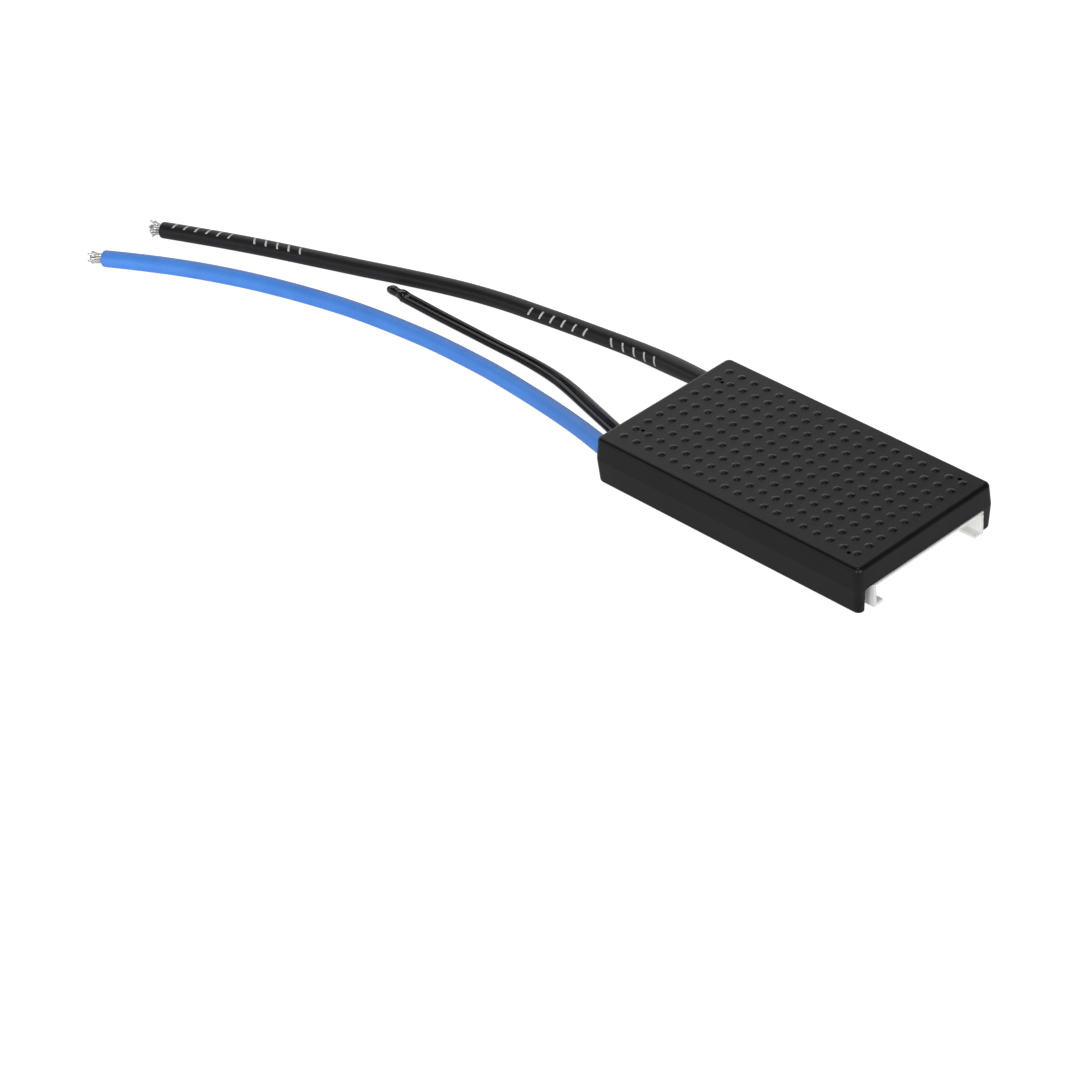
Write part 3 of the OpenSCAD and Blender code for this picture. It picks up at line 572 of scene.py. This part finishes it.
class NodeSheet:
    """Adds and joins the nodes of one tree."""

    def __init__(self, tree):
        self.tree = tree

    def add(self, kind, **values):
        """A node with its settings; in_ and a socket's name or number gives that input."""
        node = self.tree.nodes.new(kind)
        for key, value in values.items():
            if key.startswith("in_"):
                label = key[3:]
                label = int(label) if label.isdigit() else label.replace("_", " ")
                self.feed(node.inputs[label], value)
            else:
                setattr(node, key, value)
        return node

    def feed(self, socket, value):
        """Links an output to an input, or sets the input to a plain value."""
        if isinstance(value, bpy.types.NodeSocket):
            self.tree.links.new(value, socket)
        else:
            socket.default_value = value

    def math(self, operation, a, b=0.0, clamp=False):
        return self.add("ShaderNodeMath", operation=operation, use_clamp=clamp,
                        in_0=a, in_1=b).outputs[0]

    def mix(self, factor, a, b):
        """A mix of two colours; the node's colour sockets have numbers 6, 7 and 2."""
        return self.add("ShaderNodeMix", data_type="RGBA", in_0=factor, in_6=a, in_7=b).outputs[2]

    def remap(self, value, low, high, to_low=0.0, to_high=1.0):
        return self.add("ShaderNodeMapRange", in_0=value, in_1=low, in_2=high, in_3=to_low,
                        in_4=to_high).outputs[0]


def shared_group(name, inputs, outputs, build):
    """A shader node group that is made once; build gets its sheet and its input sockets."""
    tree = bpy.data.node_groups.get(name)
    if tree is None:
        tree = bpy.data.node_groups.new(name, "ShaderNodeTree")
        for label, kind, default in inputs:
            socket = tree.interface.new_socket(name=label, in_out="INPUT", socket_type=kind)
            socket.default_value = default
        for label, kind in outputs:
            tree.interface.new_socket(name=label, in_out="OUTPUT", socket_type=kind)
        sheet = NodeSheet(tree)
        source = tree.nodes.new("NodeGroupInput")
        result = tree.nodes.new("NodeGroupOutput")
        for label, socket in build(sheet, {s.name: s for s in source.outputs}).items():
            tree.links.new(socket, result.inputs[label])
    return tree


# Scale of the softer unevenness, as a share of the grain's own
SLOW_GRAIN = 0.045


def moulded_grain():
    """Fine moulded grain with softer unevenness under it, and a mask of the grain's high spots."""
    def build(sheet, given):
        place = sheet.add("ShaderNodeTexCoord").outputs["Object"]
        fine = sheet.add("ShaderNodeTexNoise", in_Vector=place, in_Scale=given["Grain scale"],
                         in_Detail=2.0, in_Roughness=0.6).outputs["Fac"]
        slow_scale = sheet.math("MULTIPLY", given["Grain scale"], SLOW_GRAIN)
        slow = sheet.add("ShaderNodeTexNoise", in_Vector=place, in_Scale=slow_scale,
                         in_Detail=1.0).outputs["Fac"]
        height = sheet.math("ADD", fine, sheet.math("MULTIPLY", slow, given["Unevenness"]))
        return {"Height": height, "Mask": sheet.remap(fine, 0.42, 0.62)}

    return shared_group(
        "Moulded grain",
        [("Grain scale", "NodeSocketFloat", 3000.0), ("Unevenness", "NodeSocketFloat", 1.0)],
        [("Height", "NodeSocketFloat"), ("Mask", "NodeSocketFloat")], build)


def tone_drift():
    """A colour that drifts slowly between two tones."""
    def build(sheet, given):
        place = sheet.add("ShaderNodeTexCoord").outputs["Object"]
        cloud = sheet.add("ShaderNodeTexNoise", in_Vector=place, in_Scale=given["Scale"],
                          in_Detail=3.0, in_Roughness=0.55).outputs["Fac"]
        between = sheet.remap(cloud, 0.35, 0.65)
        return {"Colour": sheet.mix(between, given["Tone"], given["Second tone"])}

    return shared_group(
        "Tone drift",
        [("Tone", "NodeSocketColor", (0.5, 0.5, 0.5, 1)),
         ("Second tone", "NodeSocketColor", (0.5, 0.5, 0.5, 1)),
         ("Scale", "NodeSocketFloat", 120.0)],
        [("Colour", "NodeSocketColor")], build)


def handling():
    """Roughness with the faint smears and fine scuffs that handling leaves."""
    def build(sheet, given):
        place = sheet.add("ShaderNodeTexCoord").outputs["Object"]
        stretched = sheet.add("ShaderNodeMapping", in_Vector=place, in_Rotation=(0, 0, 0.6),
                              in_Scale=(1.0, 0.25, 1.0)).outputs[0]
        smear = sheet.add("ShaderNodeTexNoise", in_Vector=stretched, in_Scale=given["Scale"],
                          in_Detail=4.0, in_Distortion=0.6).outputs["Fac"]
        drift = sheet.math("MULTIPLY", sheet.math("SUBTRACT", smear, 0.5), given["Spread"])
        return {"Roughness": sheet.math("ADD", given["Base"], drift, clamp=True)}

    return shared_group(
        "Handling",
        [("Base", "NodeSocketFloat", 0.4), ("Spread", "NodeSocketFloat", 0.1),
         ("Scale", "NodeSocketFloat", 150.0)],
        [("Roughness", "NodeSocketFloat")], build)


def drawn_metal():
    """Fine lines and small pools of a plated or soldered metal."""
    def build(sheet, given):
        place = sheet.add("ShaderNodeTexCoord").outputs["Object"]
        drawn = sheet.add("ShaderNodeMapping", in_Vector=place,
                          in_Scale=(0.12, 1.0, 1.0)).outputs[0]
        lines = sheet.add("ShaderNodeTexNoise", in_Vector=drawn, in_Scale=given["Line scale"],
                          in_Detail=2.0).outputs["Fac"]
        pools = sheet.add("ShaderNodeTexVoronoi", feature="SMOOTH_F1", in_Vector=place,
                          in_Scale=given["Pool scale"]).outputs["Distance"]
        streaks = sheet.remap(lines, 0.3, 0.7, -0.09, 0.09)
        return {"Height": sheet.math("ADD", sheet.math("MULTIPLY", lines, 0.5), pools),
                "Roughness": sheet.math("ADD", given["Base roughness"], streaks, clamp=True),
                "Mask": sheet.remap(pools, 0.1, 0.55)}

    return shared_group(
        "Drawn metal",
        [("Line scale", "NodeSocketFloat", 2500.0), ("Pool scale", "NodeSocketFloat", 1500.0),
         ("Base roughness", "NodeSocketFloat", 0.25)],
        [("Height", "NodeSocketFloat"), ("Roughness", "NodeSocketFloat"),
         ("Mask", "NodeSocketFloat")], build)


# ------------------------------------------------------------------ materials


def start_material(name, **shader_values):
    """A new material with its Principled shader set, and the sheet to add nodes to."""
    made = bpy.data.materials.new(name)
    made.use_nodes = True
    sheet = NodeSheet(made.node_tree)
    shader = made.node_tree.nodes["Principled BSDF"]
    for label, value in shader_values.items():
        shader.inputs[label.replace("_", " ")].default_value = value
    return made, sheet, shader


def join(sheet, socket, shader, label):
    """Links an output to one of a shader's inputs."""
    sheet.tree.links.new(socket, shader.inputs[label])


def rgba(colour, gain=1.0):
    """A colour made lighter or darker, with its alpha."""
    return (*[min(1.0, c * gain) for c in colour], 1.0)


def group_node(sheet, tree, **values):
    """A shared group placed in a material with values of its own."""
    node = sheet.add("ShaderNodeGroup", node_tree=tree)
    for label, value in values.items():
        node.inputs[label.replace("_", " ")].default_value = value
    return node


def moulded(name, colour, roughness, grain_scale=3000.0, depth=0.00001, strength=0.5, drift=1.25,
            spread=0.1, unevenness=1.0, **shader_values):
    """A moulded finish: drifting tone, handled roughness and fine grain."""
    made, sheet, shader = start_material(name, **shader_values)
    tone = group_node(sheet, tone_drift(), Tone=rgba(colour), Second_tone=rgba(colour, drift),
                      Scale=140.0)
    gloss = group_node(sheet, handling(), Base=roughness, Spread=spread, Scale=160.0)
    grain = group_node(sheet, moulded_grain(), Grain_scale=grain_scale, Unevenness=unevenness)
    bump = sheet.add("ShaderNodeBump", in_Height=grain.outputs["Height"], in_Strength=strength,
                     in_Distance=depth)
    join(sheet, tone.outputs["Colour"], shader, "Base Color")
    join(sheet, gloss.outputs["Roughness"], shader, "Roughness")
    join(sheet, bump.outputs["Normal"], shader, "Normal")
    return made, sheet, shader


def metal(name, colour, dark, line_scale=2500.0, pool_scale=1500.0, depth=0.000012, roughness=0.25):
    """A plated, soldered or bare metal."""
    made, sheet, shader = start_material(name, Metallic=1.0)
    drawn = group_node(sheet, drawn_metal(), Line_scale=line_scale, Pool_scale=pool_scale,
                       Base_roughness=roughness)
    bump = sheet.add("ShaderNodeBump", in_Height=drawn.outputs["Height"], in_Strength=0.4,
                     in_Distance=depth)
    join(sheet, sheet.mix(drawn.outputs["Mask"], rgba(colour), rgba(dark)), shader, "Base Color")
    join(sheet, drawn.outputs["Roughness"], shader, "Roughness")
    join(sheet, bump.outputs["Normal"], shader, "Normal")
    return made


def printed_jacket(colour, ink):
    """Black silicone with groups of plain printed strokes that lean one way or the other."""
    made, sheet, shader = moulded("Black silicone", colour, 0.42, grain_scale=1800.0,
                                  depth=0.000012, strength=0.35, unevenness=2.0,
                                  Specular_IOR_Level=0.5)
    place = sheet.add("ShaderNodeUVMap", uv_map="Along").outputs[0]
    along, turn = sheet.add("ShaderNodeSeparateXYZ", in_0=place).outputs[:2]
    along_mm = sheet.math("MULTIPLY", along, 1 / MM)
    middle = sheet.remap(along_mm, PRINT_FROM[0], PRINT_TO[0], PRINT_FROM[1], PRINT_TO[1])
    across = sheet.math("MULTIPLY", sheet.math("SUBTRACT", turn, middle), JACKET_GIRTH)
    mask = None
    for start, count, pitch, slant in PRINT_GROUPS:
        local = sheet.math("SUBTRACT", along_mm, start)
        leaned = sheet.math("ADD", local, sheet.math("MULTIPLY", across, slant))
        cell = sheet.math("DIVIDE", leaned, pitch)
        in_group = sheet.math("MULTIPLY", sheet.math("GREATER_THAN", cell, 0.0),
                              sheet.math("LESS_THAN", cell, float(count)))
        from_middle = sheet.math("ABSOLUTE", sheet.math("SUBTRACT", sheet.math("FRACT", cell), 0.5))
        stroke = sheet.remap(from_middle, *STROKE_WIDTH, 1.0, 0.0)
        tall = sheet.remap(sheet.math("ABSOLUTE", across), *STROKE_HEIGHT, 1.0, 0.0)
        part = sheet.math("MULTIPLY", sheet.math("MULTIPLY", in_group, stroke), tall)
        mask = part if mask is None else sheet.math("MAXIMUM", mask, part)
    place = sheet.add("ShaderNodeTexCoord").outputs["Object"]
    wear = sheet.add("ShaderNodeTexNoise", in_Scale=2200.0, in_Detail=3.0,
                     in_Vector=place).outputs["Fac"]
    mask = sheet.math("MULTIPLY", mask, sheet.remap(wear, 0.3, 0.45, 0.45, 0.95))
    base = shader.inputs["Base Color"].links[0].from_socket
    join(sheet, sheet.mix(mask, base, rgba(ink)), shader, "Base Color")
    return made


def dress(node, material):
    """Gives a CAD node its material."""
    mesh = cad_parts[node].data
    mesh.materials.clear()
    mesh.materials.append(material)


# ------------------------------------------------------------------ operators


class BATTERYMODULE_OT_stage(bpy.types.Operator):
    """Add the pale floor, the softboxes, the soft surround and the camera"""

    bl_idname = "battery_module.stage"
    bl_label = "Studio"
    bl_options = {"REGISTER", "UNDO"}

    def execute(self, context):
        stage = context.scene.battery_module_stage
        self.camera(context, stage)
        self.floor(context, stage)
        self.lights(context, stage)
        return {"FINISHED"}

    def camera(self, context, stage):
        """Stands the camera round the middle of the case's top."""
        az, el = stage.azimuth, stage.elevation
        back = Vector((math.sin(az) * math.cos(el), -math.cos(az) * math.cos(el), math.sin(el)))
        right = Vector((0, 0, 1)).cross(back).normalized()
        over = back.cross(right)
        c, s = math.cos(stage.roll), math.sin(stage.roll)
        right, over = right * c + over * s, over * c - right * s
        aim = Vector((0, 0, CASE_HIGH.z)) - right * stage.shift_right - over * stage.shift_up
        data = bpy.data.cameras.new("view")
        data.lens, data.sensor_width = stage.lens, SENSOR_WIDTH
        data.clip_start, data.clip_end = 0.02, 20.0
        camera = bpy.data.objects.new("view", data)
        turn = Matrix((right, over, back)).transposed().to_4x4()
        camera.matrix_world = Matrix.Translation(aim + back * stage.distance) @ turn
        context.scene.collection.objects.link(camera)
        context.scene.camera = camera
        context.scene.view_settings.view_transform = "Standard"

    def floor(self, context, stage):
        """A pale lit table that looks brighter than the light it throws back."""
        mesh = bpy.data.meshes.new("studio_floor")
        n = FLOOR_CELLS + 1
        at = [FLOOR_HALF * (2 * k / FLOOR_CELLS - 1) for k in range(n)]
        mesh.from_pydata([(x, y, -FLOOR_DROP) for y in at for x in at], [],
                         [(j * n + i, j * n + i + 1, (j + 1) * n + i + 1, (j + 1) * n + i)
                          for j in range(FLOOR_CELLS) for i in range(FLOOR_CELLS)])
        floor = bpy.data.objects.new("studio_floor", mesh)
        context.scene.collection.objects.link(floor)
        made, sheet, shader = start_material("Lit table", Roughness=0.9, Specular_IOR_Level=0.1,
                                             Emission_Strength=1.0)
        shader.inputs["Base Color"].default_value = rgba(stage.floor_tone)
        seen = sheet.add("ShaderNodeLightPath").outputs["Is Camera Ray"]
        join(sheet, sheet.mix(seen, (*[stage.floor_bounce] * 3, 1), (*[stage.floor_glow] * 3, 1)),
             shader, "Emission Color")
        mesh.materials.append(made)

    def softbox(self, context, name, azimuth, elevation, distance, width, height, brightness):
        """A soft rectangular light, hidden from the camera, that faces the module."""
        data = bpy.data.lights.new(name, "AREA")
        data.shape, data.size, data.size_y = "RECTANGLE", width, height
        data.energy = brightness * math.pi * width * height
        lamp = bpy.data.objects.new(name, data)
        a, e = math.radians(azimuth), math.radians(elevation)
        away = Vector((math.sin(a) * math.cos(e), -math.cos(a) * math.cos(e), math.sin(e)))
        lamp.location = Vector(LIT_POINT) + away * distance
        lamp.rotation_euler = away.to_track_quat("Z", "Y").to_euler()
        lamp.visible_camera = False
        context.scene.collection.objects.link(lamp)

    def lights(self, context, stage):
        """The softboxes and the studio round them."""
        az = math.degrees(stage.azimuth)
        for name, turn, up, distance, width, height, setting, share in SOFTBOXES:
            self.softbox(context, name, az + turn, up, distance, width, height,
                         getattr(stage, setting) * share)
        world = bpy.data.worlds.new("soft_surround")
        context.scene.world = world
        world.use_nodes = True
        sheet = NodeSheet(world.node_tree)
        surround = world.node_tree.nodes["Background"]
        seen = sheet.add("ShaderNodeLightPath").outputs["Is Camera Ray"]
        join(sheet, sheet.mix(seen, (*[SURROUND_LIGHT] * 3, 1), (*[SURROUND_SEEN] * 3, 1)),
             surround, "Color")


class BATTERYMODULE_OT_power_leads(bpy.types.Operator):
    """Build the two power leads with their tinned ends"""

    bl_idname = "battery_module.power_leads"
    bl_label = "Power leads"
    bl_options = {"REGISTER", "UNDO"}

    def execute(self, context):
        leads = context.scene.battery_module_leads
        tinned = metal("Tinned copper", (0.95, 0.945, 0.93), (0.72, 0.7, 0.66), roughness=0.34)
        blue, _, _ = moulded("Blue silicone", leads.blue, 0.4, grain_scale=1500.0, depth=0.00002,
                             strength=0.35, drift=1.15, unevenness=3.0, Specular_IOR_Level=0.5)
        black = printed_jacket(leads.black, leads.ink)
        for lead, finish in zip(POWER_LEADS, (blue, black)):
            route, _, length = smooth_route(lead.route, leads.ring_step)
            lengths = [length * i / (len(route) - 1) for i in range(len(route))]
            piece = jacket(f"{lead.colour}_jacket", route, lengths, leads.lead_diameter / 2,
                           leads.core_diameter / 2 + CORE_GAP, leads.sides, lead)
            piece.data.materials.append(finish)
            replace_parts(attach(piece, "root"), f"{lead.colour}_lead")
            bundle = strand_bundle(f"{lead.colour}_strands", route[-1],
                                   heading(route, len(route) - 1), leads.core_diameter,
                                   leads.strip_length * lead.reach, lead)
            bundle.data.materials.append(tinned)
            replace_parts(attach(bundle, "root"), f"{lead.colour}_lead_strands")
        return {"FINISHED"}


class BATTERYMODULE_OT_thermistor(bpy.types.Operator):
    """Build the thermistor's twin lead and its coated bead"""

    bl_idname = "battery_module.thermistor"
    bl_label = "Thermistor lead"
    bl_options = {"REGISTER", "UNDO"}

    def execute(self, context):
        leads = context.scene.battery_module_leads
        rolls_in = [math.radians(a) for a in TWIN_ROLL]
        route, rolls, length = smooth_route(TWIN_ROUTE, leads.ring_step / 2, rolls_in)
        lengths = [length * i / (len(route) - 1) for i in range(len(route))]
        twin = twin_jacket("twin_jacket", route, rolls, lengths, leads.wire_diameter)
        jacket_finish, _, _ = moulded("Twin jacket", (0.006, 0.006, 0.007), 0.14,
                                      grain_scale=2200.0, depth=0.000008, strength=0.3,
                                      unevenness=1.5)
        twin.data.materials.append(jacket_finish)
        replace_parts(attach(twin, "root"), "thermistor_lead")
        bead = dipped_bead("bead", route[-1], heading(route, len(route) - 1), rolls[-1],
                           leads.bead_diameter)
        epoxy, _, _ = moulded("Bead epoxy", (0.006, 0.006, 0.007), 0.08, grain_scale=900.0,
                              depth=0.00002, strength=0.3, unevenness=1.0, Coat_Weight=0.5,
                              Coat_Roughness=0.05)
        bead.data.materials.append(epoxy)
        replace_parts(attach(bead, "root"), "thermistor_bead")
        return {"FINISHED"}


class BATTERYMODULE_OT_case(bpy.types.Operator):
    """Finish the moulded case"""

    bl_idname = "battery_module.case"
    bl_label = "Moulded case"
    bl_options = {"REGISTER", "UNDO"}

    def execute(self, context):
        case = context.scene.battery_module_case
        finish, _, _ = moulded("Case moulding", case.moulding, case.gloss, grain_scale=2600.0,
                               depth=case.grain_depth, strength=0.6, drift=1.5, unevenness=0.6,
                               spread=0.12, Specular_IOR_Level=0.3)
        piece = dotted_case("case_moulding", case)
        piece.data.materials.clear()
        piece.data.materials.append(finish)
        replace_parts(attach(piece, "root"), "moulded_case")
        return {"FINISHED"}


class BATTERYMODULE_OT_header(bpy.types.Operator):
    """Finish the balance header and its contacts"""

    bl_idname = "battery_module.header"
    bl_label = "Balance header"
    bl_options = {"REGISTER", "UNDO"}

    def execute(self, context):
        case = context.scene.battery_module_case
        nylon, _, _ = moulded("Header nylon", case.nylon, 0.42, grain_scale=2600.0, depth=0.00001,
                              strength=0.3, drift=0.97,
                              Subsurface_Weight=0.25, Subsurface_Scale=0.0006)
        dress("header_shroud", nylon)
        dress("header_contacts",
              metal("Contact tin", (0.78, 0.76, 0.7), (0.5, 0.47, 0.4), depth=0.000004))
        dress("contact_joints", metal("Header solder", (0.7, 0.71, 0.72), (0.45, 0.46, 0.47)))
        return {"FINISHED"}


class BATTERYMODULE_OT_circuit(bpy.types.Operator):
    """Finish the board and the parts that the moulding encloses"""

    bl_idname = "battery_module.circuit"
    bl_label = "Circuit"
    bl_options = {"REGISTER", "UNDO"}

    def execute(self, context):
        case = context.scene.battery_module_case
        board, _, _ = moulded("Solder mask", case.solder_mask, 0.32, grain_scale=1200.0,
                              depth=0.00001, unevenness=0.4)
        dress("circuit_board", board)
        for name, colour, roughness, grain_scale, nodes in PART_FINISHES:
            finish, _, _ = moulded(name, colour, roughness, grain_scale=grain_scale)
            for node in nodes:
                dress(node, finish)
        for name, light, dark, pool_scale, nodes in METAL_FINISHES:
            finish = metal(name, light, dark, pool_scale=pool_scale)
            for node in nodes:
                dress(node, finish)
        return {"FINISHED"}


class BATTERYMODULE_PT_sidebar(bpy.types.Panel):
    """Sizes, colours and steps of the battery module"""

    bl_idname = "BATTERYMODULE_PT_sidebar"
    bl_label = "Battery Module"
    bl_space_type = "VIEW_3D"
    bl_region_type = "UI"
    bl_category = "Battery Module"

    def draw(self, context):
        for group, steps in PANEL_STEPS:
            box = self.layout.box()
            settings = getattr(context.scene, group)
            for name in settings.__annotations__:
                box.prop(settings, name)
            for step in steps:
                box.operator(step)


# Groups of settings in the panel, each with its steps
PANEL_STEPS = (
    ("battery_module_stage", ("battery_module.stage",)),
    ("battery_module_leads", ("battery_module.power_leads", "battery_module.thermistor")),
    ("battery_module_case",
     ("battery_module.case", "battery_module.header", "battery_module.circuit")),
)
SETTINGS = {
    "battery_module_stage": BATTERYMODULE_PG_stage,
    "battery_module_leads": BATTERYMODULE_PG_leads,
    "battery_module_case": BATTERYMODULE_PG_case,
}
CLASSES = (
    *SETTINGS.values(),
    BATTERYMODULE_OT_stage,
    BATTERYMODULE_OT_power_leads,
    BATTERYMODULE_OT_thermistor,
    BATTERYMODULE_OT_case,
    BATTERYMODULE_OT_header,
    BATTERYMODULE_OT_circuit,
    BATTERYMODULE_PT_sidebar,
)


def register():
    for cls in CLASSES:
        bpy.utils.register_class(cls)
    for name, group in SETTINGS.items():
        setattr(bpy.types.Scene, name, PointerProperty(type=group))


def unregister():
    for name in SETTINGS:
        delattr(bpy.types.Scene, name)
    for cls in reversed(CLASSES):
        bpy.utils.unregister_class(cls)


def main():
    """Builds everything in order."""
    register()
    bpy.ops.battery_module.stage()
    bpy.ops.battery_module.power_leads()
    bpy.ops.battery_module.thermistor()
    bpy.ops.battery_module.case()
    bpy.ops.battery_module.header()
    bpy.ops.battery_module.circuit()


if __name__ == "__main__":
    main()
